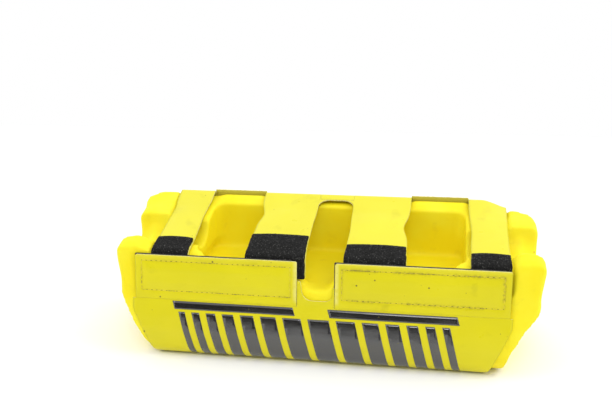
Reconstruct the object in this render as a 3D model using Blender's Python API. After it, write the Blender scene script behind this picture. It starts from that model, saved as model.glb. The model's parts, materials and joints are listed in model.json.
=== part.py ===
"""Foam handlebar pad with a vinyl cover, four strap tabs and two hook-and-loop flaps.

X runs along the bar, -Y is the rider's front face, +Z is up, the pad stands on z = 0.
All sizes below are millimetres. Outlines are drawn in the YZ plane and extruded along X.
"""
import math

import bmesh
import bpy
from mathutils import Matrix, Vector

MM = 0.001
PART_NAME = "handlebar_pad"

# ---- driving dimensions (mm) ----------------------------------------------------------
PAD_LENGTH = 254.0            # foam, end to end
PAD_DEPTH = 83.0              # over the cover, front to back
FRONT_RIM_Z = 64.0            # upper front edge of the strap plane
BACK_RIM_Z = 82.6             # upper back edge of the strap plane
CORNER_RADIUS = 13.0          # lower front and lower back corners

GAP = 0.3                     # clearance that touching pieces keep
VINYL = 1.0                   # cover sheet and flaps
STRAP = 0.9                   # strap tabs
LOOP = 1.2                    # loop tape, pile included
HOOK = 1.0                    # hook tape
THREAD_RADIUS = 0.25

HALF_DEPTH = PAD_DEPTH / 2
RIM_Y = -HALF_DEPTH + 11.0    # front rim of the strap plane
BACK_TOP_Y = HALF_DEPTH - 1.0

# flaps: the upper front face leans back
FLAP_FOOT = Vector((-HALF_DEPTH + 5.2, 37.8))     # outer surface at the hinge line (y, z)
FLAP_HEAD = Vector((-HALF_DEPTH + 9.6, 63.8))     # outer surface at the free edge
FLAP_SPANS = {"left": (-115.7, -14.7), "right": (8.3, 109.8)}
HOOK_WIDTH = 20.0
HOOK_MARGIN = 3.0
HOOK_RISE = 2.0               # hook tape sits this far above the flap's middle
SEAM_INSET = 3.5              # box stitch, in from the flap's ends and hinge line
SEAM_TOP_INSET = 3.0
SEAM_CORNER = 0.8

# strap tabs: x spans, and how much loop tape shows above the front rim
STRAP_SPANS = {
    "left_end": (-106.7, -83.0),
    "left_centre": (-47.5, -10.2),
    "right_centre": (12.5, 49.8),
    "right_end": (86.3, 110.0),
}
LOOP_SHOWN = {"left_end": 16.5, "left_centre": 23.5, "right_centre": 17.0, "right_end": 13.5}
STRAP_HINGE_Y = 29.5          # the tabs turn up about this line of the strap plane
STRAP_TUCK = 13.0             # length behind the flap
BEND_RADIUS = 3.5
LOOP_MARGIN = 0.4             # loop tape, in from the tab's edges
LOOP_SEAM_MARGIN = 2.0
LOOP_SEAM_ROWS = (3.2, 1.6)   # the two rows, down from the tape's upper edge

# foam
FOAM_DROP = 2.2               # foam under the strap tabs lies this far under the strap plane
LOBE_RISE = 1.2               # foam outside the end tabs stands this far over it
SHOULDER_DROP = 8.0           # the foam's top corners start this far below the back rim
PLAN_BACK_RADIUS = 26.0       # upright back corners, seen from above
FRONT_WALL_TOP_Z = 60.6
POCKET_Y = (-22.5, 29.9)
POCKET_FLOOR_Z = 46.0
POCKET_HALF_LENGTH = 84.5
POCKET_CORNER = 7.0
GROOVE_RADIUS = 15.0
GROOVE_AXIS = (-5.0, 75.5)    # y, z of the bar lying in the end walls
SCOOP_LENGTH = 11.0           # the groove drops towards the ends of the pad
SCOOP_DROP = 11.0
NOTCH_X = (-13.2, 7.8)
NOTCH_RADIUS = 8.5
BASE_HALF_LENGTH = 107.0      # the ends are bevelled towards the base
BEVEL_START_Z = 39.0

# cover
COVER_CENTRE_X = -3.2
COVER_HALF_WIDTH = 114.5
COVER_BASE_HALF_WIDTH = 100.5
COVER_TAPER_Z = 32.0
HORN_Z = 52.5                 # top of the cover between the flaps
COVER_NOTCH_Z = 40.6

REACH = 200.0                 # cutters run this far past the pad


# ---- helpers --------------------------------------------------------------------------
def material(name, colour, roughness):
    """A plain Principled material."""
    made = bpy.data.materials.new(name)
    made.use_nodes = True
    shader = made.node_tree.nodes["Principled BSDF"]
    shader.inputs["Base Color"].default_value = (*colour, 1.0)
    shader.inputs["Roughness"].default_value = roughness
    shader.inputs["Metallic"].default_value = 0.0
    return made


def rounded(corners, segments=6):
    """Outline points from (u, v, radius) corners of a closed outline, arcs at the corners."""
    points = []
    count = len(corners)
    for i, (u, v, radius) in enumerate(corners):
        here = Vector((u, v))
        if radius <= 0:
            points.append(here)
            continue
        before = (Vector(corners[i - 1][:2]) - here).normalized()
        after = (Vector(corners[(i + 1) % count][:2]) - here).normalized()
        half_angle = before.angle(after) / 2
        reach = radius / math.tan(half_angle)
        centre = here + (before + after).normalized() * (radius / math.sin(half_angle))
        start = here + before * reach - centre
        end = here + after * reach - centre
        sweep = start.angle_signed(end)
        for step in range(segments + 1):
            turn = Matrix.Rotation(-sweep * step / segments, 2)
            points.append(centre + turn @ start)
    return points


def offset(path, distance):
    """The open path moved to its right by distance, with mitred corners."""
    moved = []
    for i, point in enumerate(path):
        ahead = path[min(i + 1, len(path) - 1)] - point
        behind = point - path[max(i - 1, 0)]
        ahead = ahead if ahead.length > 0 else behind
        behind = behind if behind.length > 0 else ahead
        along = (ahead.normalized() + behind.normalized()).normalized()
        square = Vector((along.y, -along.x))
        stretch = max(0.5, square.dot(Vector((ahead.y, -ahead.x)).normalized()))
        moved.append(point + square * distance / stretch)
    return moved


def band(path, thickness):
    """Closed outline of a sheet whose outer side is path; the sheet lies to its right."""
    return list(path) + offset(path, thickness)[::-1]


def extrude_outline(name, outline, low, high, to_world):
    """A closed outline made solid between low and high along its normal."""
    curve = bpy.data.curves.new(name + "_outline", "CURVE")
    curve.dimensions = "2D"
    curve.fill_mode = "BOTH"
    curve.extrude = (high - low) / 2 * MM
    spline = curve.splines.new("POLY")
    spline.points.add(len(outline) - 1)
    for point, (u, v) in zip(spline.points, outline):
        point.co = (u * MM, v * MM, 0.0, 1.0)
    spline.use_cyclic_u = True
    guide = bpy.data.objects.new(name + "_guide", curve)
    bpy.context.scene.collection.objects.link(guide)
    guide.matrix_world = to_world @ Matrix.Translation((0, 0, (low + high) / 2 * MM))
    bpy.context.view_layer.update()
    evaluated = guide.evaluated_get(bpy.context.evaluated_depsgraph_get())
    mesh = bpy.data.meshes.new_from_object(evaluated)
    mesh.transform(guide.matrix_world)
    bpy.data.objects.remove(guide)
    solid = bmesh.new()
    solid.from_mesh(mesh)
    bmesh.ops.remove_doubles(solid, verts=solid.verts, dist=0.000001)
    bmesh.ops.recalc_face_normals(solid, faces=solid.faces)
    solid.to_mesh(mesh)
    solid.free()
    mesh.name = name
    return bpy.data.objects.new(name, mesh)


# outlines drawn as (y, z) run along X; outlines drawn as (x, z) run along Y
ALONG_X = Matrix(((0, 0, 1, 0), (1, 0, 0, 0), (0, 1, 0, 0), (0, 0, 0, 1)))
ALONG_Y = Matrix(((1, 0, 0, 0), (0, 0, -1, 0), (0, 1, 0, 0), (0, 0, 0, 1)))


def node(name, thing, skin):
    """Put a finished piece in the part's collection with its material."""
    thing.name = name
    thing.data.materials.clear()
    thing.data.materials.append(skin)
    PARTS.objects.link(thing)
    return thing


def cutter(thing):
    """Put a cutter where the build leaves it out."""
    CUTTERS.objects.link(thing)
    thing.hide_render = True
    thing.display_type = "WIRE"
    return thing


def boolean(target, tool, operation):
    """Boolean modifier with the exact solver."""
    step = target.modifiers.new(tool.name, "BOOLEAN")
    step.operation = operation
    step.object = tool
    step.solver = "EXACT"


def box_cutter(name, x0, x1, corners):
    """Cutter with a YZ outline between two x positions."""
    return cutter(extrude_outline(name, [Vector(c) for c in corners], x0, x1, ALONG_X))


def hinge_origin(thing, y, z):
    """Move a piece's origin onto its joint's axis, leaving the piece where it is."""
    place = Vector((0, y * MM, z * MM))
    thing.data.transform(Matrix.Translation(-place))
    thing.location = place


# ---- construction lines ---------------------------------------------------------------
SLOPE = Vector((BACK_TOP_Y - RIM_Y, BACK_RIM_Z - FRONT_RIM_Z)).normalized()
SLOPE_UP = Vector((-SLOPE.y, SLOPE.x))
LEAN = (FLAP_HEAD - FLAP_FOOT).normalized()
LEAN_OUT = Vector((-LEAN.y, LEAN.x))
RIM = Vector((RIM_Y, FRONT_RIM_Z))


def strap_plane(along, above=0.0):
    """Point on the strap plane, measured back from the front rim."""
    return RIM + SLOPE * along + SLOPE_UP * above


def front_face(up, out=0.0):
    """Point on the leaning front face, measured up from the flap's hinge line."""
    return FLAP_FOOT + LEAN * up + LEAN_OUT * out


def meet(above, out):
    """Where the strap plane moved by above meets the front face moved by out."""
    base = front_face(0.0, out)
    t = (strap_plane(0.0, above) - base).dot(SLOPE_UP) / LEAN.dot(SLOPE_UP)
    return base + LEAN * t


FLAP_HEIGHT = (FLAP_HEAD - FLAP_FOOT).length
HOOK_OUT = -(VINYL + GAP)
LOOP_OUT = HOOK_OUT - HOOK - GAP
STRAP_OUT = LOOP_OUT - LOOP - GAP
STRAP_HINGE_ALONG = (STRAP_HINGE_Y - RIM_Y) / SLOPE.x


# ---- foam core ------------------------------------------------------------------------
def cover_path():
    """Outer side of the cover from the front horns, round the base and the back, to its lips."""
    horn = front_face((HORN_Z - FLAP_FOOT.y) / LEAN.y)
    back_top = strap_plane((BACK_TOP_Y - RIM_Y) / SLOPE.x)
    lip = strap_plane(STRAP_HINGE_ALONG + GAP)
    return rounded([
        (horn.x, horn.y, 0),
        (FLAP_FOOT.x, FLAP_FOOT.y, 0),
        (-HALF_DEPTH + 2.0, 27.0, 20.0),
        (-HALF_DEPTH, 18.0, 18.0),
        (-HALF_DEPTH, 0.0, CORNER_RADIUS),
        (HALF_DEPTH, 0.0, CORNER_RADIUS),
        (HALF_DEPTH, 58.0, 60.0),
        (back_top.x, back_top.y, 2.5),
        (lip.x, lip.y, 0),
    ])


def foam_section():
    """Outer outline of the foam, one skin and a gap inside the cover."""
    skin = offset(cover_path()[::-1], VINYL + GAP)
    top_back = strap_plane((BACK_TOP_Y - RIM_Y - 1.0) / SLOPE.x, LOBE_RISE)
    below_top = [point for point in skin if point.y < BACK_RIM_Z - SHOULDER_DROP and not
                 (point.x < RIM_Y and point.y > FLAP_FOOT.y - 0.2)]
    top_front = meet(LOBE_RISE, -(VINYL + GAP))
    shoulder = rounded([(below_top[-1].x, below_top[-1].y, 0), (top_front.x, top_front.y, 4.5),
                        (top_back.x, top_back.y, 4.5), (below_top[0].x, below_top[0].y, 0)])
    return shoulder[1:-1] + below_top


def end_profile(half, base_half, taper_z, top):
    """Front view of the pad: upright ends above, bevelled towards the base."""
    return rounded([
        (half, taper_z, 14.0),
        (half, top, 0),
        (-half, top, 0),
        (-half, taper_z, 14.0),
        (-base_half, 0.0, 8.0),
        (-base_half, -10.0, 0),
        (base_half, -10.0, 0),
        (base_half, 0.0, 8.0),
    ])


def foam_core():
    """Foam body: pocket, bar grooves in the end walls, front notch, strap recesses."""
    foam = extrude_outline("foam_core", foam_section(), -PAD_LENGTH / 2, PAD_LENGTH / 2, ALONG_X)
    ends = extrude_outline("end_bevels", end_profile(PAD_LENGTH / 2, BASE_HALF_LENGTH,
                           BEVEL_START_Z, 110.0), -REACH, REACH, ALONG_Y)
    boolean(foam, cutter(ends), "INTERSECT")

    # upper corners of the lobes, rounded along the slope of the strap plane
    tilt = math.atan2(SLOPE.y, SLOPE.x)
    lobe_top = strap_plane(0.0, LOBE_RISE).dot(SLOPE_UP)
    lobes = extrude_outline("lobe_rounding", rounded([
        (-PAD_LENGTH / 2 - 0.05, -REACH, 0), (-PAD_LENGTH / 2 - 0.05, lobe_top + 0.05, 6.0),
        (PAD_LENGTH / 2 + 0.05, lobe_top + 0.05, 6.0), (PAD_LENGTH / 2 + 0.05, -REACH, 0),
    ]), -REACH, REACH, Matrix.Rotation(tilt, 4, "X") @ ALONG_Y)
    boolean(foam, cutter(lobes), "INTERSECT")

    # pocket for the bar clamp, open upwards, with rounded upright corners
    half = POCKET_HALF_LENGTH
    low_y, high_y = POCKET_Y
    pocket = extrude_outline("clamp_pocket", rounded([
        (-half, low_y, POCKET_CORNER), (half, low_y, POCKET_CORNER),
        (half, high_y, POCKET_CORNER), (-half, high_y, POCKET_CORNER),
    ]), POCKET_FLOOR_Z, REACH, Matrix.Identity(4))
    boolean(foam, cutter(pocket), "DIFFERENCE")

    # the front wall is lower than the lobes
    front_wall = extrude_outline("front_wall_top", [
        Vector((-REACH, FRONT_WALL_TOP_Z)), Vector((POCKET_Y[0] + 1.0, FRONT_WALL_TOP_Z)),
        Vector((POCKET_Y[0] + 1.0, REACH)), Vector((-REACH, REACH)),
    ], -POCKET_HALF_LENGTH + 6.0, POCKET_HALF_LENGTH - 6.0, ALONG_X)
    boolean(foam, cutter(front_wall), "DIFFERENCE")

    # upright corners, rounded seen from above
    front, back = -HALF_DEPTH - 5.0, HALF_DEPTH - VINYL - GAP
    plan = extrude_outline("plan_corners", rounded([
        (-PAD_LENGTH / 2 - 0.05, back + 0.05, PLAN_BACK_RADIUS), (-PAD_LENGTH / 2 - 0.05, front, 0),
        (PAD_LENGTH / 2 + 0.05, front, 0), (PAD_LENGTH / 2 + 0.05, back + 0.05, PLAN_BACK_RADIUS),
    ], 8), -10.0, REACH, Matrix.Identity(4))
    boolean(foam, cutter(plan), "INTERSECT")

    # the tabs lie in a shallow seat across the end walls and the back wall
    seat = [strap_plane(-30.0, -FOAM_DROP), strap_plane(REACH, -FOAM_DROP),
            strap_plane(REACH, 60.0), strap_plane(-30.0, 60.0)]
    boolean(foam, box_cutter("tab_seat", STRAP_SPANS["left_end"][0] - 1.0,
                             STRAP_SPANS["right_end"][1] + 1.0, seat), "DIFFERENCE")

    # round groove where the bar rests, dropping towards both ends
    boolean(foam, cutter(groove_cutter()), "DIFFERENCE")

    # notch in the middle of the front wall
    notch = extrude_outline("front_notch", rounded([
        (NOTCH_X[0], POCKET_FLOOR_Z, NOTCH_RADIUS), (NOTCH_X[1], POCKET_FLOOR_Z, NOTCH_RADIUS),
        (NOTCH_X[1], REACH, 0), (NOTCH_X[0], REACH, 0),
    ]), -(POCKET_Y[0] + 2.0), REACH, ALONG_Y)
    boolean(foam, cutter(notch), "DIFFERENCE")

    # seats for the hook tape under each flap and for the tucked strap ends
    for side, (x0, x1) in FLAP_SPANS.items():
        boolean(foam, recess(side + "_flap_seat", x0 - 1.0, x1 + 1.0, -0.6,
                             HOOK_OUT - HOOK - GAP), "DIFFERENCE")
    for name, (x0, x1) in STRAP_SPANS.items():
        boolean(foam, recess(name + "_strap_seat", x0 - 0.8, x1 + 0.8,
                             FLAP_HEIGHT - STRAP_TUCK - 3.0, STRAP_OUT - STRAP - GAP), "DIFFERENCE")
    return foam


def groove_outline(drop):
    """Round-bottomed channel, open upwards, its axis lowered by drop."""
    y, z = GROOVE_AXIS
    steps = 14
    arc = [Vector((y + GROOVE_RADIUS * math.cos(a), z - drop + GROOVE_RADIUS * math.sin(a)))
           for a in (math.pi + math.pi * step / steps for step in range(steps + 1))]
    return arc + [Vector((y + GROOVE_RADIUS, REACH)), Vector((y - GROOVE_RADIUS, REACH))]


def groove_cutter():
    """Lofted channel: level over the end walls, swept down and out at both ends."""
    level = PAD_LENGTH / 2 - SCOOP_LENGTH
    end = PAD_LENGTH / 2 + 1.0
    drop = SCOOP_DROP * (end - level) / SCOOP_LENGTH
    channel = bmesh.new()
    rings = [[channel.verts.new((x * MM, p.x * MM, p.y * MM)) for p in groove_outline(lower)]
             for x, lower in ((-end, drop), (-level, 0.0), (level, 0.0), (end, drop))]
    count = len(rings[0])
    for ring, following in zip(rings, rings[1:]):
        for i in range(count):
            j = (i + 1) % count
            channel.faces.new((ring[i], ring[j], following[j], following[i]))
    channel.faces.new(rings[0])
    channel.faces.new(rings[-1])
    bmesh.ops.recalc_face_normals(channel, faces=channel.faces)
    mesh = bpy.data.meshes.new("bar_groove")
    channel.to_mesh(mesh)
    channel.free()
    return bpy.data.objects.new("bar_groove", mesh)


def recess(name, x0, x1, up, depth):
    """Cutter for a shallow seat in the leaning front face, from height up to the rim."""
    outline = [front_face(up, depth), front_face(FLAP_HEIGHT + 20.0, depth),
               front_face(FLAP_HEIGHT + 20.0, 30.0), front_face(up, 30.0)]
    return cutter(extrude_outline(name, outline, x0, x1, ALONG_X))


# ---- cover ----------------------------------------------------------------------------
def cover_wrap():
    """One vinyl sheet around front, base and back, with its lips over the back rim."""
    outline = band(cover_path()[::-1], VINYL)
    low = COVER_CENTRE_X - COVER_HALF_WIDTH
    high = COVER_CENTRE_X + COVER_HALF_WIDTH
    cover = extrude_outline("cover_wrap", outline, low, high, ALONG_X)
    profile = [(x + COVER_CENTRE_X, z, r) for x, z, r in [
        (COVER_HALF_WIDTH, COVER_TAPER_Z, 14.0), (COVER_HALF_WIDTH, 110.0, 0),
        (-COVER_HALF_WIDTH, 110.0, 0), (-COVER_HALF_WIDTH, COVER_TAPER_Z, 14.0),
        (-COVER_BASE_HALF_WIDTH, -10.0, 0), (COVER_BASE_HALF_WIDTH, -10.0, 0)]]
    ends = extrude_outline("cover_ends", rounded(profile), -REACH, REACH, ALONG_Y)
    boolean(cover, cutter(ends), "INTERSECT")

    # the back sheet is only as wide as the row of tabs, and low outside them
    left, right = STRAP_SPANS["left_end"][0], STRAP_SPANS["right_end"][1]
    for name, x0, x1 in (("left_back", -REACH, left), ("right_back", right, REACH)):
        behind = [(0.0, -5.0), (REACH, -5.0), (REACH, REACH), (0.0, REACH)]
        boolean(cover, box_cutter(name, x0, x1, behind), "DIFFERENCE")

    # the flaps take the front sheet's place above the hinge line
    top = FLAP_HEIGHT + 20.0
    corners = [front_face(-GAP, -20.0), front_face(-GAP, 20.0), front_face(top, 20.0),
               front_face(top, -4.0), front_face(8.0, -20.0)]
    boolean(cover, box_cutter("left_flap_place", low - 5.0, FLAP_SPANS["left"][1] + GAP, corners),
            "DIFFERENCE")
    boolean(cover, box_cutter("right_flap_place", FLAP_SPANS["right"][0] - GAP, high + 5.0, corners),
            "DIFFERENCE")

    # U-shaped cut between the flaps, a little lower than the foam's notch
    notch = extrude_outline("cover_notch", rounded([
        (NOTCH_X[0] + 0.5, COVER_NOTCH_Z, NOTCH_RADIUS), (NOTCH_X[1] - 0.5, COVER_NOTCH_Z, NOTCH_RADIUS),
        (NOTCH_X[1] + 4.0, HORN_Z + 5.0, 0), (NOTCH_X[0] - 1.5, HORN_Z + 5.0, 0),
    ]), 10.0, REACH, ALONG_Y)
    boolean(cover, cutter(notch), "DIFFERENCE")

    # windows and ends of the back rim, where no strap tab leaves it
    rim = [(BACK_TOP_Y - 1.6, 60.0), (BACK_TOP_Y - 1.6, 110.0), (0.0, 110.0), (0.0, 60.0)]
    spans = STRAP_SPANS
    for name, x0, x1 in (
            ("left_rim_end", -REACH, spans["left_end"][0]),
            ("left_window", spans["left_end"][1], spans["left_centre"][0]),
            ("right_window", spans["right_centre"][1], spans["right_end"][0]),
            ("right_rim_end", spans["right_end"][1], REACH)):
        boolean(cover, box_cutter(name, x0, x1, rim), "DIFFERENCE")
    return cover


# ---- flaps ----------------------------------------------------------------------------
def flap(side):
    """Vinyl flap standing on the cover's front sheet."""
    x0, x1 = FLAP_SPANS[side]
    outline = [front_face(0.0, 0.0), front_face(FLAP_HEIGHT, 0.0),
               front_face(FLAP_HEIGHT, -VINYL), front_face(0.0, -VINYL)]
    return extrude_outline(side + "_flap", outline, x0, x1, ALONG_X)


def hook_tape(side):
    """Hook tape on the inner side of a flap."""
    x0, x1 = FLAP_SPANS[side]
    low = (FLAP_HEIGHT - HOOK_WIDTH) / 2 + HOOK_RISE
    outline = [front_face(low, HOOK_OUT), front_face(low + HOOK_WIDTH, HOOK_OUT),
               front_face(low + HOOK_WIDTH, HOOK_OUT - HOOK), front_face(low, HOOK_OUT - HOOK)]
    return extrude_outline(side + "_hook_tape", outline, x0 + HOOK_MARGIN, x1 - HOOK_MARGIN, ALONG_X)


def thread_loop(name, corners, to_world):
    """Closed loop of thread through rounded corners."""
    curve = bpy.data.curves.new(name + "_path", "CURVE")
    curve.dimensions = "3D"
    curve.bevel_depth = THREAD_RADIUS * MM
    curve.bevel_resolution = 2
    spline = curve.splines.new("POLY")
    points = rounded(corners, 3)
    spline.points.add(len(points) - 1)
    for point, (u, v) in zip(spline.points, points):
        place = to_world(u, v)
        point.co = (place.x * MM, place.y * MM, place.z * MM, 1.0)
    spline.use_cyclic_u = True
    guide = bpy.data.objects.new(name + "_guide", curve)
    bpy.context.scene.collection.objects.link(guide)
    bpy.context.view_layer.update()
    evaluated = guide.evaluated_get(bpy.context.evaluated_depsgraph_get())
    mesh = bpy.data.meshes.new_from_object(evaluated)
    bpy.data.objects.remove(guide)
    mesh.name = name
    return bpy.data.objects.new(name, mesh)


def flap_seam(side):
    """Box stitch that holds the hook tape, on the flap's outer side."""
    x0, x1 = FLAP_SPANS[side]
    out = GAP + THREAD_RADIUS

    def place(x, up):
        point = front_face(up, out)
        return Vector((x, point.x, point.y))

    low = SEAM_INSET
    high = FLAP_HEIGHT - SEAM_TOP_INSET
    corners = [(x0 + SEAM_INSET, low, SEAM_CORNER), (x1 - SEAM_INSET, low, SEAM_CORNER),
               (x1 - SEAM_INSET, high, SEAM_CORNER), (x0 + SEAM_INSET, high, SEAM_CORNER)]
    return thread_loop(side + "_flap_seam", corners, place)


# ---- strap tabs -----------------------------------------------------------------------
def strap_bend(above, out, start_along, tuck):
    """Path along the strap plane, round the front rim and down behind the flap."""
    corner = meet(above, out)
    start = strap_plane(start_along, above)
    end = corner - LEAN * tuck
    radius = BEND_RADIUS + above
    path = rounded([(start.x, start.y, 0), (corner.x, corner.y, radius), (end.x, end.y, 0)], 6)
    return path[::-1]


def strap(name):
    """Vinyl tab from the back rim over the pocket to behind the flap."""
    x0, x1 = STRAP_SPANS[name]
    path = strap_bend(0.0, STRAP_OUT, STRAP_HINGE_ALONG, STRAP_TUCK)
    return extrude_outline(name + "_strap", band(path, STRAP), x0, x1, ALONG_X)


def loop_tape(name):
    """Loop tape sewn on the outer side of a strap tab's free end."""
    x0, x1 = STRAP_SPANS[name]
    path = strap_bend(GAP + LOOP, LOOP_OUT, LOOP_SHOWN[name], STRAP_TUCK)
    return extrude_outline(name + "_loop_tape", band(path, LOOP), x0 + LOOP_MARGIN, x1 - LOOP_MARGIN,
                           ALONG_X)


def loop_seam(name):
    """Row of stitches along the loop tape's upper edge."""
    x0, x1 = STRAP_SPANS[name]
    above = 2 * GAP + LOOP + THREAD_RADIUS

    def place(x, along):
        point = strap_plane(along, above)
        return Vector((x, point.x, point.y))

    near, far = (LOOP_SHOWN[name] - row for row in LOOP_SEAM_ROWS)
    low, high = x0 + LOOP_SEAM_MARGIN, x1 - LOOP_SEAM_MARGIN
    corners = [(low, near, 0.4), (high, near, 0.4), (high, far, 0.4), (low, far, 0.4)]
    return thread_loop(name + "_loop_seam", corners, place)


# ---- build ----------------------------------------------------------------------------
for old in list(bpy.data.objects):
    bpy.data.objects.remove(old)
PARTS = bpy.data.collections.new(PART_NAME)
CUTTERS = bpy.data.collections.new("cutters")
for collection in (PARTS, CUTTERS):
    bpy.context.scene.collection.children.link(collection)

VINYL_SKIN = material("yellow_vinyl", (0.80, 0.72, 0.03), 0.35)
STRAP_SKIN = material("bright_vinyl", (0.90, 0.84, 0.10), 0.35)
FOAM_SKIN = material("yellow_foam", (0.85, 0.68, 0.02), 0.8)
HOOK_SKIN = material("black_hook", (0.015, 0.015, 0.015), 0.6)
LOOP_SKIN = material("black_loop", (0.012, 0.012, 0.014), 0.95)
THREAD_SKIN = material("yellow_thread", (0.55, 0.42, 0.03), 0.7)
LOOP_THREAD_SKIN = material("black_thread", (0.015, 0.015, 0.015), 0.7)

node("foam_core", foam_core(), FOAM_SKIN)
node("cover_wrap", cover_wrap(), VINYL_SKIN)
for side in FLAP_SPANS:
    for piece, skin in ((flap(side), VINYL_SKIN), (hook_tape(side), HOOK_SKIN),
                        (flap_seam(side), THREAD_SKIN)):
        hinge_origin(node(piece.name, piece, skin), FLAP_FOOT.x, FLAP_FOOT.y)
STRAP_HINGE = strap_plane(STRAP_HINGE_ALONG)
for name in STRAP_SPANS:
    for piece, skin in ((strap(name), STRAP_SKIN), (loop_tape(name), LOOP_SKIN),
                        (loop_seam(name), LOOP_THREAD_SKIN)):
        hinge_origin(node(piece.name, piece, skin), STRAP_HINGE.x, STRAP_HINGE.y)
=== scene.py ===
"""Looks of the handlebar pad: moulded foam, die-cut vinyl sheets, hook-and-loop tapes.

Every vinyl piece is cut flat, as (x, s): x along the bar, and s the length of sheet from the
flaps' free edge, down the front, round the base, up the back and over the top. A path bends
that flat cut round the pad. Lengths are millimetres until they reach a mesh.
"""
import json
import math
import random

import bmesh
import bpy
from mathutils import Matrix, Vector, noise


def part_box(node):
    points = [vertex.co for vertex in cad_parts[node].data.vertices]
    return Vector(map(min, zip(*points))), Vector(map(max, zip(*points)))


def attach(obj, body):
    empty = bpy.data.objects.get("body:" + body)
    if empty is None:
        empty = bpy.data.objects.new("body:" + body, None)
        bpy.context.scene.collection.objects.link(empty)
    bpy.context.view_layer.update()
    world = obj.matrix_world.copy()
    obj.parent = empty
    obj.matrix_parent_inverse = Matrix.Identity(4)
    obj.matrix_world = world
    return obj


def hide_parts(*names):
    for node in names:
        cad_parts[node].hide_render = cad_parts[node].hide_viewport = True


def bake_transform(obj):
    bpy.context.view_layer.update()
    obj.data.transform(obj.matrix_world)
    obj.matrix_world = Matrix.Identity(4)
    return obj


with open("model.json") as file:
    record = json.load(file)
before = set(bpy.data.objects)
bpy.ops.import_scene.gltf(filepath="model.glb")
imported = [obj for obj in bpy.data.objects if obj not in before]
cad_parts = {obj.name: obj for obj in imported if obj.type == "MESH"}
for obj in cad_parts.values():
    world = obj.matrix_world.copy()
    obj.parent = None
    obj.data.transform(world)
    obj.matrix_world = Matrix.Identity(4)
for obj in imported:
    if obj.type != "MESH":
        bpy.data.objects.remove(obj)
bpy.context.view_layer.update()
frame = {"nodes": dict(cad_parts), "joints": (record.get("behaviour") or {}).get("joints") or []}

MM = 0.001
SIDES = ("left", "right")
TABS = ("left_end", "left_centre", "right_centre", "right_end")
SEED = 7

# sheets and tapes
VINYL = 1.0                    # thickness of the cover sheet
TAB = 0.9                      # thickness of the tabs
HOOK = 1.0                     # thickness of the hook tape
LOOP = 1.2                     # thickness of the loop tape, pile included
GAP = 0.3
HOOK_SHOWN = 0.6               # share of the hook tape's thickness that is drawn
PRINT_THICKNESS = 0.06
TAB_SLOPE = math.radians(14.68)
CORNER_RADIUS = 13.0
SEAM_DROP = 1.2                # flap and front sheet meet this far below the hinge line
JOIN_DROP = 5.0                # tab and back sheet meet this far below the crest
SLOT_BEFORE_HINGE = 3.2        # the slot's end lies this far before the tabs' hinge line
TUCK_LENGTH = 13.0             # tab behind the flap
CREST_RISE = 1.8               # the rounded crest stands this far over the tabs' plane
CREST_RUN = 20.0               # and settles onto it within this length
BASE_TAPER = 14.0              # the cover narrows by this at each end of the base
TAPER_Z = 32.0                 # below this height
HORN_Z = {"left": 52.5, "right": 48.8}    # cover's top corners beside the notch
NOTCH_FLOOR_Z = 40.6
NOTCH_RADIUS = 8.5
SLOT_FILLET = 6.5
COVER_BULGE = 0.40             # slow unevenness of the cover
COVER_DIMPLE = 0.14            # and quick
COVER_CURL = 0.35              # its ends stand off by this

# foam
FOAM_VOXEL = 1.3
FOAM_SOFTENING = 7             # smoothing passes
FRONT_PLAN_RADIUS = 4.5        # upright front edges, seen from above
SWELL_COVERED = 0.10           # unevenness under the cover
SWELL_BARE = 0.45              # and outside it
SLUMP = 5.0                    # how far the right back corner sits too low
SLUMP_X = (94.0, 113.0)        # where that begins and is complete
SLUMP_REACH = 26.0             # how far from the crest it is felt
RIM_RISE = 1.3                 # back wall's rim in the two windows
LOBE_SWELL = 3.2               # front lobes: fuller upwards
LOBE_SPREAD = 2.2              # and outwards
LEFT_BACK_SPREAD = 4.0         # left back lobe: fuller outwards
LEFT_WALL_SHIFT = 4.5          # the pocket's left wall, moved in above its floor
RIGHT_TRIM = 3.5               # the right end's lower bevel is this much narrower
# each of those changes fades in over one of these spans
WINDOW_MARGIN = 4.0
WINDOW_FADE = 8.0
BACK_WALL_Y = (31.0, 36.0)
RIM_Z = (70.0, 78.0)
LOBE_X = (108.0, 116.0)
LOBE_Z = (46.0, 60.0)
LOBE_FORE_Y = (-20.0, -8.0)
LOBE_AFT_Y = (18.0, 30.0)
LOBE_AFT_Z = (64.0, 73.0)
LEFT_BACK_X = (-116.0, -106.0)
LEFT_WALL_OUTER_X = (-98.0, -87.0)
LEFT_WALL_INNER_X = (-83.0, -62.0)
LEFT_WALL_Z = (44.0, 56.0)
TRIM_X = (104.0, 116.0)
TRIM_Z = (26.0, 42.0)

# print, soil, tapes
PRINT_DROP = 1.8               # the rules start this far below the flaps' hinge line
PRINT_RULES = [(-92.0, -17.0, 1.5), (4.0, 80.0, 1.5)]    # start, end and slant of each
PRINT_LIFT = 0.12
RULE_HEIGHT = 5.0
BAR_HEIGHT = 29.0
BAR_LEAN = 7.0
BAR_GAP = 4.2
BAR_WIDTHS = (4.0, 13.0)       # at the row's ends and in its middle
FLAP_PILLOW = 0.55             # a flap's padding between its stitching
SEAM_PULL = 0.28               # the stitching draws it in by this
FLAP_WAVE = 0.5                # its free edge wanders by this
FLAP_SOIL = {"left": 0.0, "right": 0.35}
HOOK_PEEK = 0.5                # hook tape shown above a flap
HOOK_ABOVE_FOOT = 7.0          # its other edge stays this far from the flap's foot
HOOK_REACH = {"left": (0.3, -3.0), "right": (0.6, -3.0)}    # past a flap's two ends
TAB_NIP = {"left_end": (1, 0.6, 10.0, 9.0), "left_centre": (-1, 2.6, 15.0, 8.0),
           "right_centre": (1, 2.8, 6.8, 10.0), "right_end": (-1, 0.6, 4.0, 9.0)}
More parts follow.
